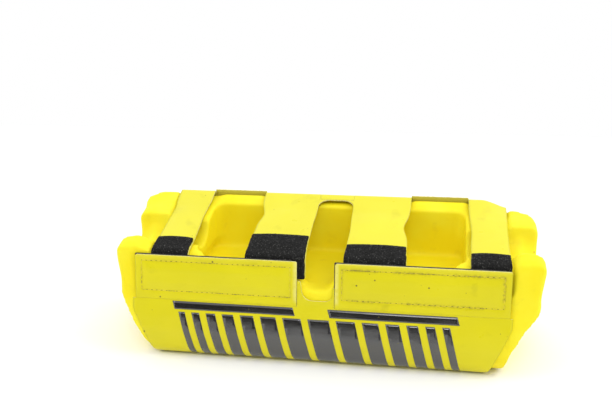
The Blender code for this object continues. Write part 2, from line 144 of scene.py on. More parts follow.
# each nip: the side that is drawn in, how deep, at which y, over what length
NAP_DENSITY = 0.9              # fibre loops per square millimetre
NAP_STEPS = 4
NAP_FIBRE = 0.06
STITCH_INSET = 4.0             # from a flap's ends
STITCH_PITCH = 3.2
STITCH_LENGTH = 2.3
STITCH_RADIUS = 0.26

# light, in metres and watts
FLOOR_HALF = 0.55
CARD_SIZE = (3.0, 1.1)
CARD_PLACE = Vector((0.0, -1.1, 0.55))
WORLD_STRENGTH = 1.0
KEY_POWER = 4.2
FILL_POWER = 2.2
FRONT_POWER = 3.8


# ---- sizes read from the frame ---------------------------------------------------------
def node_box(name):
    """Lowest and highest corner of a CAD node."""
    low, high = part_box(name)
    return low / MM, high / MM


def joint_line(name):
    """(y, z) of a hinge's axis."""
    found = next(joint for joint in frame["joints"] if joint["name"] == name)
    return Vector(found["pos_m"][1:]) / MM


FOOT = joint_line("left_flap_fold")
HINGE = joint_line("left_end_tab_fold")
COVER_LOW, COVER_HIGH = node_box("cover_wrap")
FOAM_HIGH = node_box("foam_core")[1]
FLAP_X = {side: tuple(corner.x for corner in node_box(side + "_flap")) for side in SIDES}
TAB_X = {tab: tuple(corner.x for corner in node_box(tab + "_strap")) for tab in TABS}
HEAD = Vector((node_box("left_flap")[1].y - VINYL, node_box("left_flap")[1].z))
DEPTH = COVER_HIGH.y
BACK_TOP = Vector((DEPTH - 1.0, HINGE.y + (DEPTH - 1.0 - HINGE.x) * math.tan(TAB_SLOPE)))
WINDOWS = ((TAB_X["left_end"][1], TAB_X["left_centre"][0]),
           (TAB_X["right_centre"][1], TAB_X["right_end"][0]))
SLOPE = Vector((math.cos(TAB_SLOPE), math.sin(TAB_SLOPE)))
LEAN = (HEAD - FOOT).normalized()
LEAN_OUT = Vector((-LEAN.y, LEAN.x))


# ---- the sheet's path round the pad ----------------------------------------------------
def rounded(corners, cyclic=False, segments=10):
    """Polyline from (u, v, radius) corners, with arcs at the corners."""
    points = []
    for i, (u, v, radius) in enumerate(corners):
        here = Vector((u, v))
        if radius <= 0 or (not cyclic and i in (0, len(corners) - 1)):
            points.append(here)
            continue
        before = Vector(corners[i - 1][:2]) - here
        after = Vector(corners[(i + 1) % len(corners)][:2]) - here
        half_angle = before.angle(after) / 2
        reach = min(radius / math.tan(half_angle), 0.49 * min(before.length, after.length))
        before.normalize()
        after.normalize()
        centre = here + (before + after).normalized() * (reach / math.cos(half_angle))
        start = here + before * reach - centre
        sweep = start.angle_signed(here + after * reach - centre)
        for step in range(segments + 1):
            points.append(centre + Matrix.Rotation(-sweep * step / segments, 2) @ start)
    return points


class Path:
    """A (y, z) polyline measured by its length, with the pad's outside on its outer side."""

    def __init__(self, points):
        self.points = points
        self.marks = [0.0]
        for a, b in zip(points, points[1:]):
            self.marks.append(self.marks[-1] + (b - a).length)
        self.length = self.marks[-1]

    def direction(self, i):
        i = min(max(i, 0), len(self.points) - 2)
        return (self.points[i + 1] - self.points[i]).normalized()

    def at(self, s):
        """Point and outward normal at length s, continued straight past the ends."""
        i = sum(1 for mark in self.marks[1:-1] if mark <= s)
        run = self.marks[i + 1] - self.marks[i]
        along = self.direction(i)
        share = min(max((s - self.marks[i]) / run, 0.0), 1.0)
        turned = (self.direction(i - 1) + along) * (1 - share)
        turned = (turned + (along + self.direction(i + 1)) * share).normalized()
        return self.points[i] + along * (s - self.marks[i]), Vector((turned.y, -turned.x))

    def nearest(self, y, z):
        """Length at which the path comes closest to (y, z)."""
        target = Vector((y, z))
        found = []
        for a, b, mark in zip(self.points, self.points[1:], self.marks):
            run = b - a
            t = min(max((target - a).dot(run) / run.length_squared, 0.0), 1.0)
            found.append(((a + run * t - target).length, mark + run.length * t))
        return min(found)[1]


def tuck_corner():
    """Where the tabs' plane meets the plane of their tucked ends behind the flaps."""
    base = FOOT - LEAN_OUT * (VINYL + HOOK + LOOP + 3 * GAP)
    up = Vector((-SLOPE.y, SLOPE.x))
    return base + LEAN * ((HINGE - base).dot(up) / LEAN.dot(up))


TUCK = tuck_corner()
TUCK_END = TUCK - LEAN * TUCK_LENGTH
AROUND = [(HEAD.x, HEAD.y, 0), (FOOT.x, FOOT.y, 12.0), (2.0 - DEPTH, 27.0, 20.0),
          (-DEPTH, 18.0, 18.0), (-DEPTH, 0.0, CORNER_RADIUS), (DEPTH, 0.0, CORNER_RADIUS),
          (DEPTH, 58.0, 60.0)]
SETTLED = BACK_TOP - SLOPE * CREST_RUN
SHEET = Path(rounded(AROUND + [(BACK_TOP.x, BACK_TOP.y + CREST_RISE, 3.0),
                               (SETTLED.x, SETTLED.y, 30.0), (TUCK.x, TUCK.y, 3.5),
                               (TUCK_END.x, TUCK_END.y, 0)]))
UPRIGHT = Path(rounded(AROUND + [(BACK_TOP.x, BACK_TOP.y + 3.0, 0)]))
S_FOOT = SHEET.nearest(*FOOT)
S_SEAM = S_FOOT + SEAM_DROP
S_CREST = SHEET.nearest(*BACK_TOP)
S_JOIN = S_CREST - JOIN_DROP
S_HINGE = SHEET.nearest(*HINGE)
S_RIM = SHEET.nearest(*TUCK)
S_SLOT = S_HINGE - SLOT_BEFORE_HINGE


# ---- flat cuts and bent sheets ---------------------------------------------------------
def link(name, mesh):
    """Object in the scene that shows a mesh or other data."""
    thing = bpy.data.objects.new(name, mesh)
    bpy.context.scene.collection.objects.link(thing)
    return thing


def piece_from(name, cut):
    """Smooth-shaded object made from a bmesh."""
    mesh = bpy.data.meshes.new(name)
    cut.to_mesh(mesh)
    cut.free()
    mesh.shade_smooth()
    return link(name, mesh)


def apply_modifiers(thing):
    """Replace a piece's mesh with its evaluated one."""
    bpy.context.view_layer.update()
    graph = bpy.context.evaluated_depsgraph_get()
    made = bpy.data.meshes.new_from_object(thing.evaluated_get(graph))
    thing.modifiers.clear()
    thing.data = made


def smooth_step(low, high, value):
    t = min(max((value - low) / (high - low), 0.0), 1.0)
    return t * t * (3 - 2 * t)


def inside(value, low, high, width):
    """0 outside low and high, rising to 1 within width of them."""
    return smooth_step(0.0, width, min(value - low, high - value))


def ripple(u, v, size, seed):
    """Smooth noise between -1 and 1, with hills about size apart."""
    return noise.noise(Vector((u / size, v / size, seed)))


def cut_grid(cut, axis, pitch):
    """Cut the flat faces across one axis, about every pitch."""
    places = [vert.co[axis] for vert in cut.verts]
    low, high = min(places), max(places)
    count = max(int((high - low) / pitch), 1)
    across = Vector((1 - axis, axis, 0))
    for i in range(1, count):
        bmesh.ops.bisect_plane(cut, geom=cut.verts[:] + cut.edges[:] + cut.faces[:], dist=0.0001,
                               plane_co=across * (low + (high - low) * i / count), plane_no=across)


def flat_area(outline):
    """Area inside a closed outline."""
    pairs = zip(outline, outline[1:] + outline[:1])
    return abs(sum(a.x * b.y - b.x * a.y for a, b in pairs)) / 2


def bent(name, outlines, shape, pitch, grime=None, wear=None, path=SHEET):
    """Flat cuts bent round the path. shape(x, s) gives how far they stray along x and outwards.

    grime and wear, if given, are functions of (x, s) that the materials read as attributes.
    """
    cut = bmesh.new()
    for outline in outlines:
        face = cut.faces.new([cut.verts.new((u, v, 0.0)) for u, v in outline])
        face.normal_update()
        if face.normal.z > 0:
            face.normal_flip()
    cut_grid(cut, 0, pitch)
    cut_grid(cut, 1, pitch)
    bmesh.ops.remove_doubles(cut, verts=cut.verts, dist=0.02)
    flat = [vert.co.copy() for vert in cut.verts]
    for vert in cut.verts:
        x, s = vert.co.x, vert.co.y
        aside, lift = shape(x, s)
        place, normal = path.at(s)
        place = place + normal * lift
        vert.co = shoulder(Vector((x + aside, place.x, place.y))) * MM
    sheet = piece_from(name, cut)
    # adding an attribute makes earlier references to the others invalid
    spot = sheet.data.attributes.new("flat_place", "FLOAT_VECTOR", "POINT")
    for i, place in enumerate(flat):
        spot.data[i].vector = place * MM
    for key, amount in (("grime", grime), ("wear", wear)):
        mark = sheet.data.attributes.new(key, "FLOAT", "POINT")
        for i, place in enumerate(flat):
            mark.data[i].value = amount(place.x, place.y) if amount else 0.0
    return sheet


def thicken(thing, thickness):
    """Give a bent sheet its thickness inwards, with a backing and a cut edge."""
    solid = thing.modifiers.new("thickness", "SOLIDIFY")
    solid.thickness = thickness * MM
    solid.offset = -1.0
    solid.use_even_offset = True
    solid.material_offset = 1
    solid.material_offset_rim = 2
    apply_modifiers(thing)
    return thing


def declare(outline):
    """Work out the flat area a sheet was cut to; the value is not kept."""
    flat_area(outline) * MM * MM


# ---- materials -------------------------------------------------------------------------
class Skin:
    """A Principled material with short calls for its nodes."""

    def __init__(self, name, colour, roughness, **values):
        self.material = bpy.data.materials.new(name)
        self.material.use_nodes = True
        self.tree = self.material.node_tree
        self.shader = self.tree.nodes["Principled BSDF"]
        self.shader.inputs["Base Color"].default_value = (*colour, 1.0)
        self.shader.inputs["Roughness"].default_value = roughness
        for key, value in values.items():
            self.shader.inputs[key.replace("_", " ")].default_value = value
        self.colour = None
        self.flat_colour = (*colour, 1.0)
        self.bump = None

    def add(self, kind, **values):
        node = self.tree.nodes.new(kind)
        for key, value in values.items():
            setattr(node, key, value)
        return node

    def join(self, out, target):
        self.tree.links.new(out, target)

    def place(self, flat):
        """Coordinates in metres: those of the flat cut, or the object's own."""
        if flat:
            return self.add("ShaderNodeAttribute", attribute_name="flat_place").outputs["Vector"]
        return self.add("ShaderNodeTexCoord").outputs["Object"]

    def noise(self, where, size, detail=3.0, low=0.0, high=1.0):
        """Noise with features about size across, stretched so that low and high become 0 and 1."""
        texture = self.add("ShaderNodeTexNoise")
        texture.inputs["Scale"].default_value = 1.0 / (size * MM)
        texture.inputs["Detail"].default_value = detail
        self.join(where, texture.inputs["Vector"])
        return self.range(texture.outputs["Fac"], low, high)

    def range(self, value, low, high, to_low=0.0, to_high=1.0):
        node = self.add("ShaderNodeMapRange")
        for name, number in zip(("From Min", "From Max", "To Min", "To Max"),
                                (low, high, to_low, to_high)):
            node.inputs[name].default_value = number
        self.join(value, node.inputs["Value"])
        return node.outputs["Result"]

    def times(self, a, b):
        node = self.add("ShaderNodeMath", operation="MULTIPLY")
        self.join(a, node.inputs[0])
        if isinstance(b, float):
            node.inputs[1].default_value = b
        else:
            self.join(b, node.inputs[1])
        return node.outputs[0]

    def tint(self, factor, colour):
        """Mix a colour over what is there by a factor."""
        mix = self.add("ShaderNodeMix", data_type="RGBA")
        self.join(factor, mix.inputs[0])
        if self.colour is None:
            mix.inputs[6].default_value = self.flat_colour
        else:
            self.join(self.colour, mix.inputs[6])
        mix.inputs[7].default_value = (*colour, 1.0)
        self.colour = mix.outputs[2]
        self.join(self.colour, self.shader.inputs["Base Color"])

    def relief(self, height, depth, strength=1.0):
        """Add bump of a depth in millimetres."""
        node = self.add("ShaderNodeBump")
        node.inputs["Distance"].default_value = depth * MM
        node.inputs["Strength"].default_value = strength
        self.join(height, node.inputs["Height"])
        if self.bump is not None:
            self.join(self.bump, node.inputs["Normal"])
        self.bump = node.outputs["Normal"]
        self.join(self.bump, self.shader.inputs["Normal"])

    def specks(self, where, spacing, radius, share):
        """1 in small dots about spacing apart, on that share of places."""
        cells = self.add("ShaderNodeTexVoronoi")
        cells.inputs["Scale"].default_value = 1.0 / (spacing * MM)
        self.join(where, cells.inputs["Vector"])
        dot = self.range(cells.outputs["Distance"], radius / spacing, 0.4 * radius / spacing)
        pick = self.add("ShaderNodeSeparateColor")
        self.join(cells.outputs["Color"], pick.inputs[0])
        return self.times(dot, self.range(pick.outputs[0], 1 - share, 1.04 - share))


DIRT = (0.10, 0.075, 0.02)


def vinyl_skin(name, colour, dirt):
    """Glossy coated cloth: fine grain, slow colour changes, smudges, specks, soiled stitching."""
    skin = Skin(name, colour, 0.33, Specular_IOR_Level=0.3)
    where = skin.place(flat=True)
    pale = tuple(min(c * 1.06, 1.0) for c in colour)
    skin.tint(skin.noise(where, 45.0, 2.0, 0.40, 0.68), pale)
    smudge = skin.noise(where, 17.0, 5.0, 0.60, 0.80)
    skin.tint(skin.times(smudge, 0.25 + 0.35 * dirt), tuple(c * 0.55 for c in colour))
    skin.tint(skin.specks(where, 11.0, 0.75, 0.10 + 0.35 * dirt), DIRT)
    skin.tint(skin.specks(where, 5.0, 0.32, 0.10 + 0.25 * dirt), DIRT)
    wear = skin.add("ShaderNodeAttribute", attribute_name="wear").outputs["Fac"]
    skin.tint(skin.times(wear, skin.noise(where, 3.0, 2.0, 0.15, 0.55)), (0.86, 0.81, 0.26))
    soil = skin.add("ShaderNodeAttribute", attribute_name="grime").outputs["Fac"]
    skin.tint(skin.times(soil, skin.noise(where, 2.2, 2.0, 0.35, 0.65)), DIRT)
    rough = skin.range(skin.noise(where, 9.0, 4.0), 0.3, 0.7, 0.27, 0.42)
    skin.join(rough, skin.shader.inputs["Roughness"])
    skin.relief(skin.noise(where, 0.9, 2.0), 0.05, 0.5)
    skin.relief(skin.noise(where, 8.0, 2.0), 0.35, 0.5)
    return skin.material


def edge_skin():
    """Cut edge of the sheet: pale coating with the cloth core showing."""
    skin = Skin("vinyl_cut_edge", (0.86, 0.80, 0.38), 0.7)
    where = skin.place(flat=True)
    skin.tint(skin.noise(where, 1.6, 3.0, 0.45, 0.7), (0.55, 0.48, 0.10))
    skin.relief(skin.noise(where, 0.5, 2.0), 0.1)
    return skin.material


def backing_skin():
    """Woven backing on the inner side of the sheet."""
    skin = Skin("vinyl_backing", (0.50, 0.43, 0.03), 0.9)
    where = skin.place(flat=True)
    for axis in ("X", "Y"):
        weave = skin.add("ShaderNodeTexWave", bands_direction=axis)
        weave.inputs["Scale"].default_value = 0.4 / MM
        weave.inputs["Distortion"].default_value = 0.6
        skin.join(where, weave.inputs["Vector"])
        skin.relief(weave.outputs["Fac"], 0.12, 0.6)
        skin.tint(skin.times(weave.outputs["Fac"], 0.25), (0.62, 0.54, 0.06))
    return skin.material


def foam_skin():
    """Moulded closed-cell foam skin: matt, faintly dimpled, a little light passing through."""
    skin = Skin("yellow_foam", (0.92, 0.775, 0.006), 0.62, Subsurface_Weight=0.25,
                Specular_IOR_Level=0.3)
    skin.shader.inputs["Subsurface Scale"].default_value = 2.0 * MM
    skin.shader.inputs["Subsurface Radius"].default_value = (1.0, 0.8, 0.2)
    where = skin.place(flat=False)
    skin.tint(skin.noise(where, 30.0, 3.0, 0.45, 0.75), (0.93, 0.84, 0.03))
    skin.tint(skin.times(skin.noise(where, 9.0, 5.0, 0.62, 0.85), 0.35), (0.60, 0.47, 0.02))
    skin.tint(skin.specks(where, 9.0, 0.5, 0.14), (0.25, 0.18, 0.03))
    pores = skin.add("ShaderNodeTexVoronoi")
    pores.inputs["Scale"].default_value = 1.0 / (0.8 * MM)
    skin.join(where, pores.inputs["Vector"])
    skin.relief(pores.outputs["Distance"], 0.06, 0.5)
    skin.relief(skin.noise(where, 5.0, 3.0), 0.25, 0.6)
    return skin.material


def loop_skin(name, shade):
    """Black brushed nylon loops with grey lint."""
    skin = Skin(name, (shade, shade * 0.97, shade * 0.9), 0.9, Sheen_Weight=0.04,
                Specular_IOR_Level=0.25)
    where = skin.place(flat=False)
    skin.tint(skin.noise(where, 0.9, 3.0, 0.55, 0.75), (0.05, 0.05, 0.048))
    skin.tint(skin.specks(where, 1.2, 0.30, 0.65), (0.15, 0.15, 0.14))
    skin.relief(skin.noise(where, 0.7, 3.0), 0.5)
    return skin.material


def hook_skin():
    """Black woven hook tape."""
    skin = Skin("black_hook", (0.012, 0.012, 0.013), 0.5)
    where = skin.place(flat=False)
    skin.tint(skin.noise(where, 6.0, 3.0, 0.45, 0.7), (0.03, 0.03, 0.032))
    skin.relief(skin.noise(where, 0.6, 2.0), 0.1)
    return skin.material


def thread_skin(name, colour, worn):
    """Twisted thread, soiled in places; in dark colours it also gives the painted shade of the
    needle holes.
    """
    skin = Skin(name, colour, 0.65)
    where = skin.place(flat=False)
    skin.tint(skin.noise(where, 6.0, 3.0, 0.50, 0.66), worn)
    twist = skin.add("ShaderNodeTexWave", bands_direction="DIAGONAL")
    twist.inputs["Scale"].default_value = 0.7 / MM
    skin.join(where, twist.inputs["Vector"])
    skin.relief(twist.outputs["Fac"], 0.1, 0.7)
    return skin.material


def print_skin():
    """Screen-printed black ink, thin and slightly worn."""
    skin = Skin("black_print", (0.010, 0.009, 0.008), 0.25, Coat_Weight=1.0, Coat_Roughness=0.12,
                Specular_IOR_Level=0.9)
    where = skin.place(flat=True)
    skin.tint(skin.times(skin.noise(where, 3.0, 6.0, 0.68, 0.78), 0.6), (0.30, 0.27, 0.03))
    skin.relief(skin.noise(where, 0.9, 2.0), 0.04, 0.5)
    skin.relief(skin.noise(where, 8.0, 2.0), 0.35, 0.5)
    return skin.material


VINYL_YELLOW = (0.70, 0.625, 0.006)
EDGE = edge_skin()
BACKING = backing_skin()
COVER_SKIN = vinyl_skin("yellow_vinyl", VINYL_YELLOW, 0.15)
FLAP_SKIN = {"left": vinyl_skin("left_flap_vinyl", VINYL_YELLOW, 0.2),
             "right": vinyl_skin("right_flap_vinyl", VINYL_YELLOW, 1.0)}
# tabs and slot lip: a paler, brighter copy of the cover's yellow vinyl, painted light on their
# upward-facing tops
LIT_TAB_SKIN = vinyl_skin("bright_vinyl", (0.74, 0.68, 0.035), 0.3)


def dress(thing, *skins):
    """Give a piece these materials and no others."""
    thing.data.materials.clear()
    for skin in skins:
        thing.data.materials.append(skin)


def shoulder(place):
    """The right back corner slumps: everything near the crest there sits lower."""
    crest = Vector((place.y, place.z)) - BACK_TOP
    near = 1 - smooth_step(0.0, SLUMP_REACH, crest.length)
    drop = SLUMP * smooth_step(*SLUMP_X, place.x) * near
    return place + Vector((0.0, -0.45, -0.89)) * drop


# ---- foam block ------------------------------------------------------------------------
def foam_block():
    """The moulded foam, remeshed finely so that its edges and walls come out soft."""
    mesh = frame["nodes"]["foam_core"].data.copy()
    block = link("pad_foam", mesh)
    remesh = block.modifiers.new("remesh", "REMESH")
    remesh.mode = "VOXEL"
    remesh.voxel_size = FOAM_VOXEL * MM
    soften = block.modifiers.new("soften", "SMOOTH")
    soften.factor = 0.5
    soften.iterations = FOAM_SOFTENING
    apply_modifiers(block)
    normals = [vert.normal.copy() for vert in block.data.vertices]
    for vert, normal in zip(block.data.vertices, normals):
        place = vert.co / MM
        round_front_edge(place)
        covered = COVER_LOW.x < place.x < COVER_HIGH.x
        drift = ripple(place.x + place.z, place.y - place.z, 19.0, 3.0)
        place += normal * ((SWELL_COVERED if covered else SWELL_BARE) * drift)
        fill_out(place)
        vert.co = shoulder(place) * MM
    block.data.shade_smooth()
    dress(block, foam_skin())
    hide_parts("foam_core")
    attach(block, "pad")


def round_front_edge(place):
    """Round the foam's upright front edges, seen from above."""
    flat_end = FOAM_HIGH.x - FRONT_PLAN_RADIUS
    past = abs(place.x) - flat_end
    if past <= 0 or place.y >= 0:
        return
    front = front_at(place.z)
    reach = Vector((past, front + FRONT_PLAN_RADIUS - place.y))
    if reach.y > 0 and reach.length > FRONT_PLAN_RADIUS:
        reach *= FRONT_PLAN_RADIUS / reach.length
        place.x = math.copysign(flat_end + reach.x, place.x)
        place.y = front + FRONT_PLAN_RADIUS - reach.y


def fill_out(place):
    """What the plain block lacks: raised rims, fuller lobes, one wall and one bevel moved in."""
    for left, right in WINDOWS:
        hollow = inside(place.x, left - WINDOW_MARGIN, right + WINDOW_MARGIN, WINDOW_FADE)
        hollow *= smooth_step(*BACK_WALL_Y, place.y)
        place.z += RIM_RISE * hollow * smooth_step(*RIM_Z, place.z)
    lobe = smooth_step(*LOBE_X, abs(place.x)) * smooth_step(*LOBE_Z, place.z)
    fore = 1 - smooth_step(*LOBE_FORE_Y, place.y)
    place.z += LOBE_SWELL * lobe * fore
    place.x += math.copysign(LOBE_SPREAD, place.x) * lobe * (0.4 + 0.6 * fore)
    aft = smooth_step(*LOBE_AFT_Y, place.y) * smooth_step(*LOBE_AFT_Z, place.z)
    place.x -= LEFT_BACK_SPREAD * (1 - smooth_step(*LEFT_BACK_X, place.x)) * aft
    low_right = smooth_step(*TRIM_X, place.x) * (1 - smooth_step(*TRIM_Z, place.z))
    place.x -= RIGHT_TRIM * low_right
    wall = smooth_step(*LEFT_WALL_OUTER_X, place.x) * (1 - smooth_step(*LEFT_WALL_INNER_X, place.x))
    place.x += LEFT_WALL_SHIFT * wall * smooth_step(*LEFT_WALL_Z, place.z)


def front_at(z):
    """The foam's front face at a height, a negative y."""
    return SHEET.at(SHEET.nearest(-DEPTH, z))[0].x + VINYL + GAP


# ---- cover sheet -----------------------------------------------------------------------
def leaning(z):
    """Sheet length at height z on the leaning front."""
    return SHEET.nearest(FOOT.x + (z - FOOT.y) * LEAN.x / LEAN.y, z)


def cover_outline():
    """Flat cut of front, base and back, with the tabs' places left out of its upper edge."""
    front = (COVER_LOW.x, COVER_HIGH.x)
    base = (front[0] + BASE_TAPER, front[1] - BASE_TAPER)
    back = (TAB_X["left_end"][0], TAB_X["right_end"][1])
    notch = (FLAP_X["left"][1] + GAP, FLAP_X["right"][0] - GAP)
    s_taper = SHEET.nearest(-DEPTH, TAPER_Z)
    s_base = SHEET.nearest(6.0 - DEPTH, 4.0)
    s_back = SHEET.nearest(DEPTH - 6.0, 4.0)
    s_rise = SHEET.nearest(DEPTH, 16.0)
    s_window = UPRIGHT.nearest(BACK_TOP.x, BACK_TOP.y + 0.9)
    corners = [
        (front[0], S_SEAM, 0), (notch[0], S_SEAM, 0),
        (notch[0], leaning(HORN_Z["left"]), 0.8),
        (notch[0] + 2.0, leaning(HORN_Z["left"]) + 0.6, 1.5),
        (notch[0] + 3.4, leaning(NOTCH_FLOOR_Z), NOTCH_RADIUS),
        (notch[1] - 1.6, leaning(NOTCH_FLOOR_Z), NOTCH_RADIUS),
        (notch[1] - 0.8, leaning(HORN_Z["right"]), 0.4),
        (notch[1], leaning(HORN_Z["right"]), 0),
        (notch[1], S_SEAM, 0), (front[1], S_SEAM, 0),
        (front[1], s_taper, 14.0), (base[1], s_base, 10.0), (base[1], s_back, 10.0),
        (back[1], s_rise, 6.0), (back[1], S_JOIN, 0)]
    for left, right in reversed(WINDOWS):
        corners += [(right, S_JOIN, 0), (right, s_window, 0),
                    (left, s_window, 0), (left, S_JOIN, 0)]
    corners += [(back[0], S_JOIN, 0), (back[0], s_rise, 6.0), (base[0], s_back, 10.0),
                (base[0], s_base, 10.0), (front[0], s_taper, 14.0)]
    return rounded(corners, cyclic=True)


def cover_shape(x, s):
    """Slight bulges of the cover, level where it rests and where other pieces meet it."""
    place = SHEET.at(s)[0]
    calm = inside(s, S_SEAM, S_JOIN, 9.0) * smooth_step(1.0, 9.0, place.y)
    bulge = COVER_BULGE * ripple(x, s, 37.0, 1.5) + COVER_DIMPLE * ripple(x, s, 12.0, 4.5)
    curl = COVER_CURL * (1 - inside(x, COVER_LOW.x, COVER_HIGH.x, 7.0))
    return 0.0, calm * (bulge + curl)


def cover():
    """The cover sheet with its backing and cut edges."""
    outline = cover_outline()
    piece = bent("pad_cover", [outline], cover_shape, 2.0, path=UPRIGHT)
    dress(piece, COVER_SKIN, BACKING, EDGE)
    thicken(piece, VINYL)
    declare(outline)
    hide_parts("cover_wrap")
    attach(piece, "pad")


def slot_lip():
    """The short stretch of sheet behind the slot, over the crest to the slot's end."""
    x0, x1 = TAB_X["left_centre"][1], TAB_X["right_centre"][0]
    outline = [Vector(p) for p in ((x0, S_JOIN), (x1, S_JOIN), (x1, S_SLOT), (x0, S_SLOT))]
    piece = bent("slot_lip", [outline], lambda x, s: (0.0, 0.0), 1.4)
    # paler copy of the vinyl: painted light on the lip's upward-facing top
    dress(piece, LIT_TAB_SKIN, BACKING, EDGE)
    thicken(piece, TAB)
    declare(outline)
    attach(piece, "pad")


# ---- front print -----------------------------------------------------------------------
def slanted(x, s, width, height, lean):
    """Parallelogram whose lower edge is moved along x by lean."""
    return [Vector((x, s)), Vector((x + width, s)), Vector((x + width + lean, s + height)),
            Vector((x + lean, s + height))]


def print_outlines():
    """A rule under the flaps and a row of slanted bars that widen towards the middle."""
    rule_top = S_FOOT + PRINT_DROP
    outlines = [slanted(x0, rule_top, x1 - x0, RULE_HEIGHT, lean)
                for x0, x1, lean in PRINT_RULES]
    bar_top = rule_top + RULE_HEIGHT + 1.6
    x = PRINT_RULES[0][0] + 4.0
    end = PRINT_RULES[-1][1] - 4.0
    middle = (x + end) / 2
    while x < end:
        share = 1 - abs(x - middle) / (end - middle)
        width = BAR_WIDTHS[0] + (BAR_WIDTHS[1] - BAR_WIDTHS[0]) * share
        outlines.append(slanted(x, bar_top, width, BAR_HEIGHT, BAR_LEAN))
        x += width + BAR_GAP
    return outlines


def print_shape(x, s):
    """The cover's shape, lifted clear of it."""
    aside, lift = cover_shape(x, s)
    return aside, lift + PRINT_LIFT


def front_print():
    """The print, as thin ink on the cover."""
    piece = bent("front_print", print_outlines(), print_shape, 2.0)
    dress(piece, print_skin(), print_skin(), print_skin())
    thicken(piece, PRINT_THICKNESS)
    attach(piece, "pad")


# ---- front flaps -----------------------------------------------------------------------
def flap_box(side):
    """Rectangle of the flap's stitching: x and s limits."""
    x0, x1 = FLAP_X[side]
    return x0 + STITCH_INSET, x1 - STITCH_INSET, 3.6, S_FOOT - 4.2


def seam_distance(side, x, s):
    """How far a place on the flap is from its stitching."""
    x0, x1, s0, s1 = flap_box(side)
    outside = Vector((max(x0 - x, x - x1, 0.0), max(s0 - s, s - s1, 0.0))).length
    return outside or min(x - x0, x1 - x, s - s0, s1 - s)


def flap_shape(side):
    """Padded between its stitching, drawn in along it, with a slightly wavy free edge."""
    x0, x1, s0, s1 = flap_box(side)
    seed = 2.0 + SIDES.index(side)

    def shape(x, s):
        settle = 1 - smooth_step(S_FOOT - 4.0, S_FOOT + 3.0, s)
        free = 1 - smooth_step(0.0, S_FOOT, s)
        pillow = inside(x, x0, x1, 7.0) * inside(s, s0, s1, 6.0)
        seam = math.exp(-(seam_distance(side, x, s) / 0.9) ** 2)
        wave = FLAP_WAVE * ripple(x, 0.0, 34.0, seed) * free + 0.22 * ripple(x, s, 13.0, seed)
        stray = 0.30 * ripple(x, s, 10.0, seed + 5.0) * (1 - smooth_step(0.0, 3.0, s))
        return stray, settle * (wave + FLAP_PILLOW * pillow - SEAM_PULL * seam)
    return shape


def flap_grime(side):
    """Dirt caught along the stitching, more on the right flap."""
    def grime(x, s):
        near = math.exp(-(seam_distance(side, x, s) / 0.8) ** 2)
        patch = smooth_step(-0.15, 0.35, ripple(x, s, 15.0, 9.0) + FLAP_SOIL[side])
        return near * patch * (0.25 + FLAP_SOIL[side])
    return grime


def flap_wear(side):
    """Rubbed pale vinyl along the flap's end beside the notch, a little along its free edge."""
    x0, x1 = FLAP_X[side]

    def wear(x, s):
        inner = x1 - x if side == "left" else x - x0
        end = 1 - smooth_step(1.2, 2.6, inner)
        edge = 1 - smooth_step(0.3, 1.5, s)
        return max(0.6 * end, 0.2 * edge) * (1 - smooth_step(S_FOOT - 3.0, S_FOOT, s))
    return wear


def needle_holes(name, runs, shape):
    """Dark discs of painted shade at the holes where the thread goes through, between one stitch
    and the next.
    """
    holes = bmesh.new()
    for start, end in runs:
        count = round((end - start).length / STITCH_PITCH)
        for i in range(count):
            place, outward, along = on_sheet(start.lerp(end, i / count), (end - start).normalized(),
                                             shape, -0.02)
            turn = Matrix((along, along.cross(outward), outward)).transposed().to_4x4()
            size = Matrix.Diagonal((0.55 * MM, 0.34 * MM, 0.08 * MM, 1.0))
            bmesh.ops.create_uvsphere(holes, u_segments=8, v_segments=5, radius=1.0,
                                      matrix=Matrix.Translation(place * MM) @ turn @ size)
    piece = piece_from(name, holes)
    dress(piece, HOLE_SHADE_SKIN)
    return piece


def stitches(name, runs, shape, lift, skin):
    """A row of separate stitches along each run of flat points."""
    thread = bmesh.new()
    draw = random.Random(SEED)
    for start, end in runs:
        count = round((end - start).length / STITCH_PITCH)
        for i in range(count):
            flat = start.lerp(end, (i + 0.5) / count)
            ahead = (end - start).normalized()
            place, outward, along = on_sheet(flat, ahead, shape, lift)
            side_way = along.cross(outward)
            turn = Matrix((along, side_way, outward)).transposed().to_4x4()
            turn = turn @ Matrix.Rotation(draw.uniform(-0.10, 0.10), 4, "Z")
            size = Matrix.Diagonal((STITCH_LENGTH / 2 * MM, STITCH_RADIUS * MM,
                                    STITCH_RADIUS * MM, 1.0))
            bmesh.ops.create_uvsphere(thread, u_segments=8, v_segments=7, radius=1.0,
                                      matrix=Matrix.Translation(place * MM) @ turn @ size)
    piece = piece_from(name, thread)
    dress(piece, skin)
    return piece


def on_sheet(flat, ahead, shape, lift):
    """Place, outward normal and direction in space of a spot on a bent sheet."""
    aside, rise = shape(flat.x, flat.y)
    place, normal = SHEET.at(flat.y)
    place = place + normal * (rise + lift)
    outward = Vector((0.0, normal.x, normal.y))
    down = Vector((0.0, -normal.y, normal.x))
    along = Vector((ahead.x, 0, 0)) + down * ahead.y
    return Vector((flat.x + aside, place.x, place.y)), outward, along.normalized()


